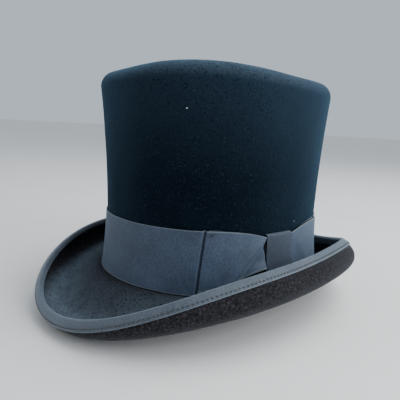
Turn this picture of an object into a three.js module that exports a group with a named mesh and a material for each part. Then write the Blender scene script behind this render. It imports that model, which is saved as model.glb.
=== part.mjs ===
// A black wool felt top hat with a grosgrain hatband, a flat side bow and a ribbon-bound brim.
// Millimetres. +Z is up the crown, the front is -Y, the wearer's left is +X.
// The hat stands on the front and back dips of its brim, with z = 0 on the surface beneath them.
//
// Every piece is swept around the head oval. A station is an angle from the front towards the
// wearer's left, and a point of a section is given by how far it lies outward of the oval of the
// crown's waist and by its height above the crown's base, where the crown meets the brim.
import * as THREE from 'three';

// --- Driving dimensions -------------------------------------------------------------------

const STATIONS_AROUND = 48;
const TURN = 2 * Math.PI;
const CLEARANCE = 0.35;

// Crown, measured on its outside.
const WAIST_HALF_LENGTH = 105.7;
const WAIST_HALF_WIDTH = 86.7;
const WAIST_HEIGHT = 56.2;
const CROWN_HEIGHT = 176.8;
const BASE_FLARE = 4.7;
const TOP_FLARE = { front: 6.4, side: 3.4, back: 4.5 };
const TOP_FLARE_POWER = 1.81;
const EDGE_RADIUS = 14.1;
const OVAL_POWER_BASE = 2.19;
const OVAL_POWER_TOP = 2.4;

// Rise and fall of the crown's top edge as cosine and sine waves around the oval.
const EDGE_SWAY = [
  { waves: 2, cosine: -1.1, sine: 0 },
  { waves: 3, cosine: -1.4, sine: 1.5 },
];
const FLAT_TIP_SHARE = 0.5;
const TIP_SHARES = [FLAT_TIP_SHARE, 0.8];
const EDGE_STEPS = 4;

const FELT = 2.6;

// Brim section at five stations from the front round to the back, outward of the crown's base:
// where its roll starts and how far out it bulges, the heights of its underside and of its bound
// edge, and the degrees through which it curls.
const ROLL_START = [38.2, 30.7, 14.9, 15.1, 30.7];
const ROLL_REACH = [58.9, 48.6, 38.3, 39.7, 44.6];
const UNDERSIDE_DIP = [-31.3, -11.1, 0.7, -6.2, -31.3];
const EDGE_RISE = [-14.6, 15.0, 27.7, 24.8, 7.2];
const LEFT_EDGE_LIFT = 2.2;
const ROLL_TURN = [120.7, 150.7, 163.1, 152.1, 133.7];
const SLOPE_SHARES = [0.25, 0.5, 0.75];
const ROLL_STEPS = 6;
const ARC_STEPS = 8;

// Ribbons. The binding reaches a little further round the roll than it is wide to look at.
const RIBBON = 0.7;
const BAND_HEIGHT = 51.7;
const BAND_FOOT = 0.7;
const BINDING_WIDTH = 8.5;
const HEM = BINDING_WIDTH + 1;
const FELT_SHOULDER = 2;
const BINDING_SHOULDER = { outside: 1.3, inside: 1.5 };
const HALF_END_GAP = 0.5;

// Heights on the crown's wall where every piece that lies against it has a row of corners.
const WALL_LEVELS = [8, 18, 34, BAND_HEIGHT, 81, 121];
const CLOSEST_LEVELS = 2;

// Bow on the wearer's left: a fold, a loop, a knot, a loop and a fold.
const BOW_CENTRE = THREE.MathUtils.degToRad(86.2);
const KNOT_HALF_ANGLE = THREE.MathUtils.degToRad(7.9);
const KNOT_TOP = 46.2;
const KNOT_FOOT = 12.6;
const FRONT_FOLD = { top: THREE.MathUtils.degToRad(50.3), foot: THREE.MathUtils.degToRad(47.5) };
const REAR_FOLD = { top: THREE.MathUtils.degToRad(121.5), foot: THREE.MathUtils.degToRad(124) };
const LOOP_TOP = 51.6;
const LOOP_FOOT = 2.0;
const PINCHED_TOP = 44.6;
const PINCHED_FOOT = 14.2;
const PINCH_POWER = 2.5;
const BAND_PINCH_POWER = 2;
const LOOP_THICKNESS = 1.8;
const LOOP_STEPS = 10;
const LOOP_LEVELS = 4;
const FOLD_STEPS = 4;
const KNOT_STEPS = 5;

// Inside of the crown.
const LEATHER = 1.2;
const SWEATBAND_TOP = 33;
const REED_RADIUS = 1;
const REED_SIDES = 6;
const SATIN = 0.6;
const LINING_FOOT = 14;
const SEAM_TURN = THREE.MathUtils.degToRad(78);
const SEAM_STEPS = 3;
const SWEATBAND_BOW = { halfWidth: 8, endHeight: 7, waistHeight: 3, thickness: 1, height: 8 };
const SWEATBAND_BOW_STEPS = 6;
const TIP_PATCH = { share: 0.48, thickness: 0.4 };

// --- The head oval ------------------------------------------------------------------------

// An even, smooth curve around the oval through five values: front, front quarter, side,
// back quarter and back.
function throughStations(values, angle) {
  const last = values.length - 1;
  let sum = 0;
  for (let wave = 0; wave <= last; wave += 1) {
    let share = 0;
    for (let station = 0; station <= last; station += 1) {
      const ends = station === 0 || station === last ? 0.5 : 1;
      share += ends * values[station] * Math.cos((Math.PI * wave * station) / last);
    }
    const ends = wave === 0 || wave === last ? 0.5 : 1;
    sum += (2 / last) * ends * share * Math.cos(wave * angle);
  }
  return sum;
}

function frontSideBack({ front, side, back }, angle) {
  const mean = (front + back + 2 * side) / 4;
  const lean = (front - back) / 2;
  const pinch = (front + back - 2 * side) / 4;
  return mean + lean * Math.cos(angle) + pinch * Math.cos(2 * angle);
}

// A point outward of the waist oval, squared off by a superellipse power.
function ovalPoint(angle, outward, power) {
  const cosine = Math.cos(angle);
  const sine = Math.sin(angle);
  const stretch = (Math.abs(cosine) ** power + Math.abs(sine) ** power) ** (-1 / power);
  const point = new THREE.Vector2(
    WAIST_HALF_WIDTH * sine * stretch,
    -WAIST_HALF_LENGTH * cosine * stretch,
  );
  const normal = new THREE.Vector2(point.x / WAIST_HALF_WIDTH ** 2, point.y / WAIST_HALF_LENGTH ** 2);
  return point.addScaledVector(normal.normalize(), outward);
}

function edgeSway(angle) {
  let sway = 0;
  for (const { waves, cosine, sine } of EDGE_SWAY) {
    sway += cosine * Math.cos(waves * angle) + sine * Math.sin(waves * angle);
  }
  return sway;
}

// A point of the crown. The share shrinks the oval towards the middle of the tip.
function crownPoint(angle, outward, height, share = 1) {
  const climb = THREE.MathUtils.clamp(height / CROWN_HEIGHT, 0, 1);
  const power = THREE.MathUtils.lerp(OVAL_POWER_BASE, OVAL_POWER_TOP, climb);
  const point = ovalPoint(angle, outward, power).multiplyScalar(share);
  const towardsEdge = Math.max(0, (share - FLAT_TIP_SHARE) / (1 - FLAT_TIP_SHARE));
  const sway = edgeSway(angle) * climb ** 3 * towardsEdge ** 2;
  return new THREE.Vector3(point.x, point.y, height + sway);
}

function wallOutward(angle, height) {
  if (height < WAIST_HEIGHT) {
    return BASE_FLARE * (1 - height / WAIST_HEIGHT) ** 2;
  }
  const climb = (height - WAIST_HEIGHT) / (CROWN_HEIGHT - EDGE_RADIUS - WAIST_HEIGHT);
  return frontSideBack(TOP_FLARE, angle) * climb ** TOP_FLARE_POWER;
}

// A point on the crown's wall, so far out from the felt's outer face.
function wallPoint(angle, height, proud) {
  return crownPoint(angle, wallOutward(angle, height) + proud, height);
}

// A point on the rounded top edge: turn 0 is the top of the wall, a quarter turn is the tip.
function edgePoint(angle, turn, proud) {
  const radius = EDGE_RADIUS + proud;
  const centre = frontSideBack(TOP_FLARE, angle) - EDGE_RADIUS;
  const height = CROWN_HEIGHT - EDGE_RADIUS + radius * Math.sin(turn);
  return crownPoint(angle, centre + radius * Math.cos(turn), height);
}

function tipPoint(angle, share, proud, inset = 0) {
  const outward = frontSideBack(TOP_FLARE, angle) - EDGE_RADIUS + inset;
  return crownPoint(angle, outward, CROWN_HEIGHT + proud, share);
}

// --- The brim -----------------------------------------------------------------------------

function brimPoint(angle, outward, height) {
  const point = ovalPoint(angle, BASE_FLARE + outward, OVAL_POWER_BASE);
  return new THREE.Vector3(point.x, point.y, height);
}

// The brim's sheet runs down from the crown, then curls up and back in along part of an ellipse.
function rollAt(angle) {
  const start = throughStations(ROLL_START, angle);
  const dip = throughStations(UNDERSIDE_DIP, angle);
  const rise = throughStations(EDGE_RISE, angle) + LEFT_EDGE_LIFT * Math.sin(angle);
  const turn = THREE.MathUtils.degToRad(throughStations(ROLL_TURN, angle));
  return {
    start,
    dip,
    width: throughStations(ROLL_REACH, angle) - start,
    height: (rise - dip) / (1 - Math.cos(turn)),
    turn,
  };
}

// A point of the sheet between the crown (share 0) and the roll (share 1).
function slopePoint(angle, share, depth) {
  const { start, dip } = rollAt(angle);
  const eased = THREE.MathUtils.smoothstep(share, 0, 1);
  return brimPoint(angle, start * share, THREE.MathUtils.lerp(-FELT, dip, eased) + depth);
}

// A point of the roll, so deep in from its outer face.
function rollPoint(angle, turn, depth) {
  const { start, dip, width, height } = rollAt(angle);
  const inward = new THREE.Vector2(-height * Math.sin(turn), width * Math.cos(turn)).normalize();
  const outward = start + width * Math.sin(turn) + depth * inward.x;
  return brimPoint(angle, outward, dip + height * (1 - Math.cos(turn)) + depth * inward.y);
}

// The turn at which the roll is so far back along it from the bound edge.
function edgeTurn(angle, distance) {
  const { width, height, turn } = rollAt(angle);
  let back = turn;
  for (let step = 0; step < ARC_STEPS; step += 1) {
    const speed = Math.hypot(width * Math.cos(back), height * Math.sin(back));
    back -= distance / ARC_STEPS / speed;
  }
  return back;
}

function nearEdgePoint(angle, distance, depth) {
  return rollPoint(angle, edgeTurn(angle, distance), depth);
}

// --- Sweeping -----------------------------------------------------------------------------

function evenSteps(from, to, steps) {
  return Array.from({ length: steps + 1 }, (_, step) => THREE.MathUtils.lerp(from, to, step / steps));
}

const FULL_RING = evenSteps(0, TURN, STATIONS_AROUND).slice(0, -1);

function enclosedVolume(points, triangles) {
  let volume = 0;
  for (const [a, b, c] of triangles) {
    volume += points[a].dot(points[b].clone().cross(points[c])) / 6;
  }
  return volume;
}

// Builds a closed body from sections that all have the same number of points.
//   ring: the last section joins the first; otherwise both ends are capped.
//   poles: each section starts and ends on a point that all of them share.
function sweep(sections, { ring = true, poles = false } = {}) {
  const count = sections[0].length;
  const points = poles ? [sections[0][0], sections[0][count - 1]] : [];
  const indexOf = sections.map((section) => section.map((point, place) => {
    if (poles && place === 0) return 0;
    if (poles && place === count - 1) return 1;
    points.push(point);
    return points.length - 1;
  }));
  const triangles = [];
  const quad = (a, b, c, d) => {
    triangles.push([a, b, c], [a, c, d]);
  };
  const steps = ring ? sections.length : sections.length - 1;
  const strips = poles ? count - 1 : count;
  for (let step = 0; step < steps; step += 1) {
    const here = indexOf[step];
    const there = indexOf[(step + 1) % sections.length];
    for (let place = 0; place < strips; place += 1) {
      const next = (place + 1) % count;
      quad(here[place], here[next], there[next], there[place]);
    }
  }
  if (!ring) {
    const first = indexOf[0];
    const last = indexOf[sections.length - 1];
    for (let place = 0; place < count / 2 - 1; place += 1) {
      const across = count - 1 - place;
      quad(first[place], first[across], first[across - 1], first[place + 1]);
      quad(last[place], last[place + 1], last[across - 1], last[across]);
    }
  }
  const proper = triangles.filter(([a, b, c]) => a !== b && b !== c && c !== a);
  if (enclosedVolume(points, proper) < 0) {
    proper.forEach((triangle) => triangle.reverse());
  }
  const geometry = new THREE.BufferGeometry();
  geometry.setFromPoints(points);
  geometry.setIndex(proper.flat());
  geometry.computeVertexNormals();
  return geometry;
}

// A section made of an outer face and the inner face behind it, point for point.
function faced(outer, inner) {
  return [...outer, ...inner.slice().reverse()];
}

function ringOf(sectionAt, options) {
  return sweep(FULL_RING.map(sectionAt), options);
}

// Neighbouring pieces share their stations and wall levels, so that their facets stay parallel.
function between(low, high, shared, closest) {
  return [low, ...shared.filter((value) => value > low + closest && value < high - closest), high];
}

function levelsBetween(low, high) {
  return between(low, high, WALL_LEVELS, CLOSEST_LEVELS);
}

// A distance around the crown as an angle, near enough for the small gaps between ends.
function angleOf(distance) {
  return distance / WAIST_HALF_LENGTH;
}

// The stations of a strip that goes once around, with its two ends meeting at one angle.
function onceAround(endsAt) {
  const gap = angleOf(HALF_END_GAP);
  const twoTurns = [...FULL_RING, ...FULL_RING.map((angle) => angle + TURN)];
  return between(endsAt + gap, endsAt + TURN - gap, twoTurns, gap);
}

// --- Pieces -------------------------------------------------------------------------------

const MATERIALS = {
  felt: { color: 0x14181d, roughness: 0.95, metalness: 0 },
  ribbon: { color: 0x2b323b, roughness: 0.7, metalness: 0 },
  leather: { color: 0x1c1512, roughness: 0.55, metalness: 0 },
  reed: { color: 0x101010, roughness: 0.6, metalness: 0 },
  satin: { color: 0x17171c, roughness: 0.4, metalness: 0 },
  clear: { color: 0xd8dcdd, roughness: 0.15, metalness: 0 },
};

const topHat = new THREE.Group();

function addPiece(name, geometry, look) {
  const mesh = new THREE.Mesh(geometry, new THREE.MeshStandardMaterial(MATERIALS[look]));
  mesh.name = name;
  topHat.add(mesh);
}

// Crown and brim are one sheet of blocked felt.
function feltBody() {
  const edgeTurns = evenSteps(Math.PI / 2, 0, EDGE_STEPS);
  return ringOf((angle) => {
    const rollTurns = [
      ...evenSteps(0, edgeTurn(angle, HEM), ROLL_STEPS),
      edgeTurn(angle, HEM / 2),
      edgeTurn(angle, FELT_SHOULDER),
    ];
    return [
      new THREE.Vector3(0, 0, CROWN_HEIGHT),
      ...TIP_SHARES.map((share) => tipPoint(angle, share, 0)),
      ...edgeTurns.map((turn) => edgePoint(angle, turn, 0)),
      ...WALL_LEVELS.slice().reverse().map((level) => wallPoint(angle, level, 0)),
      wallPoint(angle, 0, 0),
      ...SLOPE_SHARES.map((share) => slopePoint(angle, share, FELT)),
      ...rollTurns.map((turn) => rollPoint(angle, turn, FELT)),
      nearEdgePoint(angle, RIBBON + CLEARANCE, FELT / 2),
      ...rollTurns.slice().reverse().map((turn) => rollPoint(angle, turn, 0)),
      ...SLOPE_SHARES.slice().reverse().map((share) => slopePoint(angle, share, 0)),
      brimPoint(angle, -FELT, -FELT),
      ...WALL_LEVELS.map((level) => wallPoint(angle, level, -FELT)),
      ...edgeTurns.slice().reverse().map((turn) => edgePoint(angle, turn, -FELT)),
      ...TIP_SHARES.slice().reverse().map((share) => tipPoint(angle, share, -FELT)),
      new THREE.Vector3(0, 0, CROWN_HEIGHT - FELT),
    ];
  }, { poles: true });
}

// Ribbon folded over the brim's edge.
function brimBinding() {
  const outsideDepth = -(CLEARANCE + RIBBON);
  const insideDepth = FELT + CLEARANCE + RIBBON;
  const outer = [
    [HEM, outsideDepth],
    [HEM / 2, outsideDepth],
    [BINDING_SHOULDER.outside, outsideDepth],
    [0, FELT / 2],
    [BINDING_SHOULDER.outside, insideDepth],
    [HEM / 2, insideDepth],
    [HEM, insideDepth],
  ];
  const inner = [
    [HEM, outsideDepth + RIBBON],
    [HEM / 2, outsideDepth + RIBBON],
    [BINDING_SHOULDER.inside, outsideDepth + RIBBON],
    [RIBBON, FELT / 2],
    [BINDING_SHOULDER.inside, insideDepth - RIBBON],
    [HEM / 2, insideDepth - RIBBON],
    [HEM, insideDepth - RIBBON],
  ];
  return ringOf((angle) => faced(
    outer.map(([distance, depth]) => nearEdgePoint(angle, distance, depth)),
    inner.map(([distance, depth]) => nearEdgePoint(angle, distance, depth)),
  ));
}

// The hatband's top edge is drawn down behind the bow, so that it stays out of sight there.
function bandTop(angle) {
  const offset = THREE.MathUtils.euclideanModulo(angle - BOW_CENTRE + Math.PI, TURN) - Math.PI;
  const fold = offset < 0 ? FRONT_FOLD : REAR_FOLD;
  const reach = Math.abs(fold.top - BOW_CENTRE);
  const nearKnot = 1 - (Math.abs(offset) - KNOT_HALF_ANGLE) / (reach - KNOT_HALF_ANGLE);
  const share = THREE.MathUtils.clamp(nearKnot, 0, 1) ** BAND_PINCH_POWER;
  return THREE.MathUtils.lerp(BAND_HEIGHT, PINCHED_TOP - RIBBON, share);
}

// The hatband's two ends meet under the bow's knot.
function hatband() {
  const levels = levelsBetween(BAND_FOOT, BAND_HEIGHT).slice(0, -1);
  const face = (angle, proud) => (
    [...levels, bandTop(angle)].map((level) => wallPoint(angle, level, proud))
  );
  return sweep(onceAround(BOW_CENTRE).map((angle) => faced(
    face(angle, CLEARANCE + RIBBON),
    face(angle, CLEARANCE),
  )), { ring: false });
}

// A flattened loop of ribbon: from under the knot along its outer layer, round the fold at its
// far end and back beneath. It is full height at the fold and pinched where it meets the knot.
function bowLoop(fold, tuckedEnd) {
  const beyondFold = Math.sign(fold.top - tuckedEnd);
  const reachOfKnot = 1 - KNOT_HALF_ANGLE / Math.abs(tuckedEnd - fold.top);
  const middle = 2 * CLEARANCE + RIBBON + LOOP_THICKNESS / 2;
  const outerRadius = LOOP_THICKNESS / 2;
  const innerRadius = outerRadius - RIBBON;
  const levels = evenSteps(0, 1, LOOP_LEVELS);
  const place = (along, level, beyond, proud) => {
    const nearKnot = Math.min(1, along / reachOfKnot);
    const top = THREE.MathUtils.lerp(LOOP_TOP, PINCHED_TOP, nearKnot ** PINCH_POWER);
    const eased = THREE.MathUtils.smoothstep(nearKnot, 0, 1);
    const foot = THREE.MathUtils.lerp(LOOP_FOOT, PINCHED_FOOT, eased);
    const foldAngle = THREE.MathUtils.lerp(fold.foot, fold.top, level);
    const angle = THREE.MathUtils.lerp(foldAngle, tuckedEnd, along) + beyondFold * angleOf(beyond);
    return wallPoint(angle, THREE.MathUtils.lerp(foot, top, level), proud);
  };
  const face = (radius, along, turn) => levels.map((level) => (
    place(along, level, radius * Math.sin(turn), middle + radius * Math.cos(turn))
  ));
  const path = [
    ...evenSteps(1, 0, LOOP_STEPS).map((along) => [along, 0]),
    ...evenSteps(0, Math.PI, FOLD_STEPS).slice(1, -1).map((turn) => [0, turn]),
    ...evenSteps(0, 1, LOOP_STEPS).map((along) => [along, Math.PI]),
  ];
  return sweep(path.map(([along, turn]) => faced(
    face(outerRadius, along, turn),
    face(innerRadius, along, turn),
  )), { ring: false });
}

// The knot is a strip that passes over both loops and turns in at its top and foot.
function bowKnot() {
  const inside = 2 * CLEARANCE + RIBBON;
  const face = inside + LOOP_THICKNESS + CLEARANCE;
  const middle = (KNOT_TOP + KNOT_FOOT) / 2;
  const outer = [
    [KNOT_TOP, inside],
    [KNOT_TOP, face + RIBBON / 2],
    [KNOT_TOP - RIBBON / 2, face + RIBBON],
    [middle, face + RIBBON],
    [KNOT_FOOT + RIBBON / 2, face + RIBBON],
    [KNOT_FOOT, face + RIBBON / 2],
    [KNOT_FOOT, inside],
  ];
  const inner = [
    [KNOT_TOP - RIBBON, inside],
    [KNOT_TOP - RIBBON, face - CLEARANCE / 2],
    [KNOT_TOP - RIBBON - CLEARANCE / 2, face],
    [middle, face],
    [KNOT_FOOT + RIBBON + CLEARANCE / 2, face],
    [KNOT_FOOT + RIBBON, face - CLEARANCE / 2],
    [KNOT_FOOT + RIBBON, inside],
  ];
  const angles = evenSteps(
    BOW_CENTRE - KNOT_HALF_ANGLE,
    BOW_CENTRE + KNOT_HALF_ANGLE,
    KNOT_STEPS,
  );
  return sweep(angles.map((angle) => faced(
    outer.map(([level, proud]) => wallPoint(angle, level, proud)),
    inner.map(([level, proud]) => wallPoint(angle, level, proud)),
  )), { ring: false });
}

const LINING_PROUD = -(FELT + CLEARANCE);
const SWEATBAND_PROUD = LINING_PROUD - SATIN - CLEARANCE;

// The sweatband's two ends meet at the back.
function sweatband() {
  const levels = levelsBetween(0, SWEATBAND_TOP);
  return sweep(onceAround(Math.PI).map((angle) => faced(
    levels.map((level) => wallPoint(angle, level, SWEATBAND_PROUD)),
    levels.map((level) => wallPoint(angle, level, SWEATBAND_PROUD - LEATHER)),
  )), { ring: false });
}

// A thin rod sewn along the foot of the sweatband.
function sweatbandReed() {
  const sides = evenSteps(0, TURN, REED_SIDES).slice(0, -1);
  const outward = BASE_FLARE + SWEATBAND_PROUD - LEATHER / 2;
  const height = -(REED_RADIUS + CLEARANCE);
  return ringOf((angle) => sides.map((side) => crownPoint(
    angle,
    outward + REED_RADIUS * Math.cos(side),
    height + REED_RADIUS * Math.sin(side),
  )));
}

// A flat bow of narrow ribbon over the sweatband's back seam.
function sweatbandBow() {
  const { halfWidth, endHeight, waistHeight, thickness, height } = SWEATBAND_BOW;
  const proud = SWEATBAND_PROUD - LEATHER - CLEARANCE;
  const halfAngle = halfWidth / WAIST_HALF_WIDTH;
  return sweep(evenSteps(-1, 1, SWEATBAND_BOW_STEPS).map((across) => {
    const halfHeight = THREE.MathUtils.lerp(waistHeight, endHeight, Math.abs(across)) / 2;
    const angle = Math.PI + across * halfAngle;
    const levels = [height - halfHeight, height + halfHeight];
    return faced(
      levels.map((level) => wallPoint(angle, level, proud)),
      levels.map((level) => wallPoint(angle, level, proud - thickness)),
    );
  }), { ring: false });
}

// The lining's wall is tucked behind the sweatband and meets the lining's tip in a seam.
function liningSide() {
  const levels = levelsBetween(LINING_FOOT, CROWN_HEIGHT - EDGE_RADIUS);
  const turns = evenSteps(0, SEAM_TURN, SEAM_STEPS).slice(1);
  const face = (angle, proud) => [
    ...levels.map((level) => wallPoint(angle, level, proud)),
    ...turns.map((turn) => edgePoint(angle, turn, proud)),
  ];
  return ringOf((angle) => faced(face(angle, LINING_PROUD), face(angle, LINING_PROUD - SATIN)));
}

function tipDisc(shares, top, thickness, inset) {
  return ringOf((angle) => [
    new THREE.Vector3(0, 0, CROWN_HEIGHT + top),
    ...shares.map((share) => tipPoint(angle, share, top, inset)),
    ...shares.slice().reverse().map((share) => tipPoint(angle, share, top - thickness, inset)),
    new THREE.Vector3(0, 0, CROWN_HEIGHT + top - thickness),
  ], { poles: true });
}

function liningTip() {
  const seamInset = (EDGE_RADIUS + LINING_PROUD) * Math.cos(SEAM_TURN) - 2 * CLEARANCE;
  return tipDisc([...TIP_SHARES, 1], LINING_PROUD, SATIN, seamInset);
}

function tipPatch() {
  const top = LINING_PROUD - SATIN - CLEARANCE;
  return tipDisc([TIP_PATCH.share], top, TIP_PATCH.thickness, 0);
}

addPiece('felt_body', feltBody(), 'felt');
addPiece('brim_binding', brimBinding(), 'ribbon');
addPiece('hatband', hatband(), 'ribbon');
addPiece('bow_front_loop', bowLoop(FRONT_FOLD, BOW_CENTRE - angleOf(HALF_END_GAP)), 'ribbon');
addPiece('bow_rear_loop', bowLoop(REAR_FOLD, BOW_CENTRE + angleOf(HALF_END_GAP)), 'ribbon');
addPiece('bow_knot', bowKnot(), 'ribbon');
addPiece('sweatband', sweatband(), 'leather');
addPiece('sweatband_reed', sweatbandReed(), 'reed');
addPiece('sweatband_bow', sweatbandBow(), 'ribbon');
addPiece('lining_side', liningSide(), 'satin');
addPiece('lining_tip', liningTip(), 'satin');
addPiece('tip_patch', tipPatch(), 'clear');

// The crown's base is lifted off the ground by the brim's dips, and the brim's length is centred.
const front = rollAt(0);
const back = rollAt(Math.PI);
topHat.position.y = (front.start + front.width - back.start - back.width) / 2;
topHat.position.z = -front.dip;

export default topHat;
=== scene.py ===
"""A black wool felt top hat with a grosgrain hatband, a flat side bow and a ribbon-bound brim.

Every piece is worked out from the same head oval, crown and brim as the CAD part. Sizes are in
millimetres, heights are above the crown's base, and an angle is taken from the front towards the
wearer's left. Points turn into metres in the part's frame when a mesh is made.
"""

import math

import bpy
import numpy as np
from mathutils import Matrix, Vector


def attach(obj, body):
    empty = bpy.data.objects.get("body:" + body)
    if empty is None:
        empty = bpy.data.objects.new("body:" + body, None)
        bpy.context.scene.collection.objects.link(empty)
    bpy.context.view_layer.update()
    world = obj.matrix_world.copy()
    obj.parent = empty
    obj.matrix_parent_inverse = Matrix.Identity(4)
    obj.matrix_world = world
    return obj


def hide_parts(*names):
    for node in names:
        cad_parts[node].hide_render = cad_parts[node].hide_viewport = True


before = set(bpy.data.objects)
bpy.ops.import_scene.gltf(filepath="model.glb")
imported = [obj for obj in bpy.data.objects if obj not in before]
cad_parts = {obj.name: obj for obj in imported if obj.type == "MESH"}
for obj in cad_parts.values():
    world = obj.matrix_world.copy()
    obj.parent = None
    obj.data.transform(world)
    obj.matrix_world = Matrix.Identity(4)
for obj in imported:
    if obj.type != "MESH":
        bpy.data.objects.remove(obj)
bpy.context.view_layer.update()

TURN = 2 * math.pi
METRES = 0.001

# --- Dimensions shared with the part --------------------------------------------------------

CLEARANCE = 0.35
WAIST_HALF_LENGTH = 105.7
WAIST_HALF_WIDTH = 86.7
WAIST_HEIGHT = 56.2
CROWN_HEIGHT = 176.8
BASE_FLARE = 4.7
TOP_FLARE = (6.4, 3.4, 4.5)
TOP_FLARE_POWER = 1.81
EDGE_RADIUS = 14.1
WALL_TOP = CROWN_HEIGHT - EDGE_RADIUS
OVAL_POWER_BASE = 2.19
OVAL_POWER_TOP = 2.4
EDGE_SWAY = ((2, -1.1, 0.0), (3, -1.4, 1.5))
FLAT_TIP_SHARE = 0.5
FELT = 2.6

# The brim's roll at the front, front quarters, sides, back quarters and back.
ROLL_START = (38.2, 30.7, 14.9, 15.1, 30.7)
ROLL_REACH = (58.9, 48.6, 38.3, 39.7, 44.6)
UNDERSIDE_DIP = (-31.3, -11.1, 0.7, -6.2, -31.3)
EDGE_RISE = (-14.6, 15.0, 27.7, 24.8, 7.2)
LEFT_EDGE_LIFT = 2.2
ROLL_TURN = (120.7, 150.7, 163.1, 152.1, 133.7)
ARC_STEPS = 24

RIBBON = 0.7
BAND_HEIGHT = 51.7
BAND_FOOT = 0.7
BINDING_WIDTH = 8.5
HEM = BINDING_WIDTH + 1

BOW_CENTRE = math.radians(86.2)
KNOT_HALF_ANGLE = math.radians(7.9)
KNOT_TOP = 46.2
KNOT_FOOT = 12.6
FRONT_FOLD = (math.radians(50.3), math.radians(47.5))
REAR_FOLD = (math.radians(121.5), math.radians(124))
LOOP_TOP = 51.6
LOOP_FOOT = 2.0
PINCHED_TOP = 44.6
PINCHED_FOOT = 14.2
PINCH_POWER = 2.5
BAND_PINCH_POWER = 2
LOOP_THICKNESS = 1.8

LEATHER = 1.2
SWEATBAND_TOP = 33.0
REED_RADIUS = 1.0
SATIN = 0.6
LINING_FOOT = 14.0
SEAM_TURN = math.radians(78)
PATCH_SHARE = 0.48
PATCH_THICKNESS = 0.4

LINING_PROUD = -(FELT + CLEARANCE)
SWEATBAND_PROUD = LINING_PROUD - SATIN - CLEARANCE

# --- Detail that only the visible pieces have -----------------------------------------------

RIB_PITCH = 0.95
RIB_HEIGHT = 0.07
COLUMN_PITCH = RIB_PITCH / 4
SELVAGE = 0.9
SELVAGE_LEVELS = np.array([0.0, 0.12, 0.3, 0.55])
EDGE_ROUNDING = 0.3
WEFT_PITCH = 0.45
BINDING_BEND = 1.6
# Half the angle of the gap between a strip's meeting ends.
END_GAP = 0.5 / WAIST_HALF_LENGTH
BRIM_FELT_TOP = 40.0

STITCH_PITCH = 3.3
STITCH_LENGTH = 2.1
THREAD_RADIUS = 0.42
STITCH_LINE = 2.3
PUCKER = 0.18

BAND_SWELL = 2.1
SWELL_END = (6, 44)
GROOVE_WIDTH = 3.1

BOW_RIBBON = 0.55
LOOP_BASE = CLEARANCE + RIBBON + CLEARANCE
LOOP_BULGE = 1.6
KNOT_RISE = 2.0
FOOT_LIFT = 2.6
CREASE_DEPTH = 4.4
CREASE_WIDTH = 0.12
CORNER_LIFT = 5.8
HOLLOW_LEAST = 1.2
HOLLOW_SWELL = 3.6
HOLLOW_LEVEL = 0.72
REAR_HOLLOW = 0.35
REAR_SHARE = 0.15
KNOT_BEND = 1.4

SWEATBAND_STITCH_HEIGHT = 3.0
GATHERS = 84

# --- Colours --------------------------------------------------------------------------------

FELT_DARK = (0.0006, 0.0016, 0.0034)
# Worn patches on the crown; on the brim next to the crown, this colour is painted shade.
FELT_WORN_AND_PAINTED_SHADE = (0.0022, 0.0046, 0.0080)
# Painted light: the crown's felt turns paler towards its tip.
FELT_PAINTED_TIP_LIGHT = (0.0140, 0.0255, 0.0400)
FELT_FIBRE = (0.0034, 0.0075, 0.0135)
FELT_SPECK = (0.0280, 0.0370, 0.0470)
FELT_LINT = (0.4000, 0.4300, 0.4500)
# Dusting on upward faces, which also stands for painted light from above.
FELT_DUST_AND_TOP_LIGHT = (0.1500, 0.1980, 0.2450)
FELT_SHEEN_TINT = (0.32, 0.63, 0.94)
# The brim's felt is tinted brown: painted warm light bounced up from the floor.
BRIM_DARK = (0.0090, 0.0080, 0.0086)
BRIM_WORN = (0.0130, 0.0115, 0.0125)
BRIM_FIBRE = (0.0430, 0.0415, 0.0470)
BRIM_SHEEN_TINT = (0.72, 0.78, 0.84)
BAND_DARK = (0.014, 0.027, 0.054)
BAND_LIGHT = (0.040, 0.063, 0.110)
KNOT_DARK = (0.004, 0.008, 0.018)
KNOT_LIGHT = (0.012, 0.019, 0.036)
BINDING_DARK = (0.030, 0.036, 0.047)
BINDING_LIGHT = (0.070, 0.082, 0.098)
RIBBON_GROOVE = (0.012, 0.016, 0.024)
RIBBON_THREAD = (0.100, 0.122, 0.150)
RIBBON_EDGE = (0.060, 0.078, 0.100)
RIBBON_EDGE_WORN = (0.110, 0.138, 0.165)
RIBBON_SHEEN_TINT = (0.65, 0.80, 0.95)
# Painted shade for ribbon faces in folds and hollows.
SHADOWED_DARK = (0.0020, 0.0028, 0.0040)
SHADOWED_LIGHT = (0.0085, 0.0110, 0.0150)
THREAD_DARK = (0.004, 0.005, 0.007)
THREAD_LIGHT = (0.018, 0.021, 0.026)
LEATHER_DARK = (0.012, 0.010, 0.009)
LEATHER_LIGHT = (0.024, 0.019, 0.016)
LEATHER_CREASE = (0.005, 0.004, 0.004)
SATIN_DARK = (0.010, 0.010, 0.013)
SATIN_LIGHT = (0.020, 0.020, 0.025)
SATIN_SLUB = (0.040, 0.040, 0.048)
REED_DARK = (0.010, 0.010, 0.010)
REED_SCUFFED = (0.035, 0.035, 0.036)
FILM_CLEAR = (0.62, 0.64, 0.65)
FILM_HAZED = (0.80, 0.82, 0.83)
FLOOR_PALE = (0.84, 0.80, 0.76)
FLOOR_PALER = (0.88, 0.84, 0.80)

# --- Camera and light, with angles in degrees -----------------------------------------------

CAMERA_AZIMUTH = 47.06
CAMERA_ELEVATION = 8.307
CAMERA_ROLL = 3.293
CAMERA_PAN = 1.977
CAMERA_TILT = -1.624
CAMERA_DISTANCE = 415.8
CAMERA_TARGET = (0, 0, 70)
CAMERA_LENS = 37.47
SENSOR_WIDTH = 36
FLOOR_REACH = 30.0
SKY_COLOUR = (0.78, 0.88, 1.0)
SKY_STRENGTH = 0.7
LIGHT_TARGET = (0, 0, 0.1)
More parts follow.
